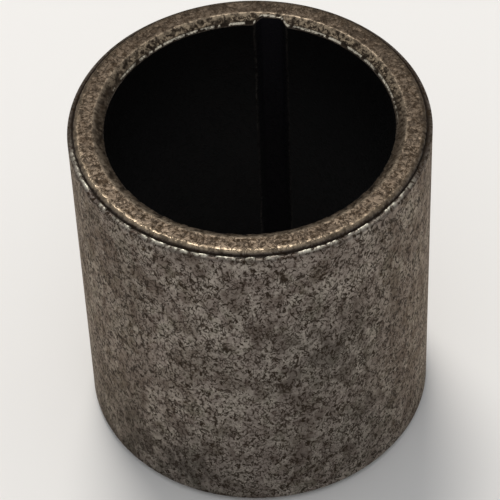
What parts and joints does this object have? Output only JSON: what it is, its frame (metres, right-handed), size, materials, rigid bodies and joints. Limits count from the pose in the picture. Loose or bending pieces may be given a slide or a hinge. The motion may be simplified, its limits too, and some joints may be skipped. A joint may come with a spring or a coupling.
{
  "type": "bronze sleeve bushing",
  "caption": "Plain cylindrical sleeve bearing of sintered bronze, with broken edges and a straight oil groove along its bore.",
  "frame": {"origin": "centre of the lower end face, on the bore axis", "axes": "+Z along the bore axis, from the lower end face to the upper; +Y through the oil groove"},
  "size_m": [0.0238, 0.0238, 0.0254],
  "materials": {
    "sintered_bronze": "oil-filled sintered bronze, matt, dark brown-grey"
  },
  "bodies": {
    "root": {"sleeve": "sintered_bronze"}
  },
  "joints": []
}
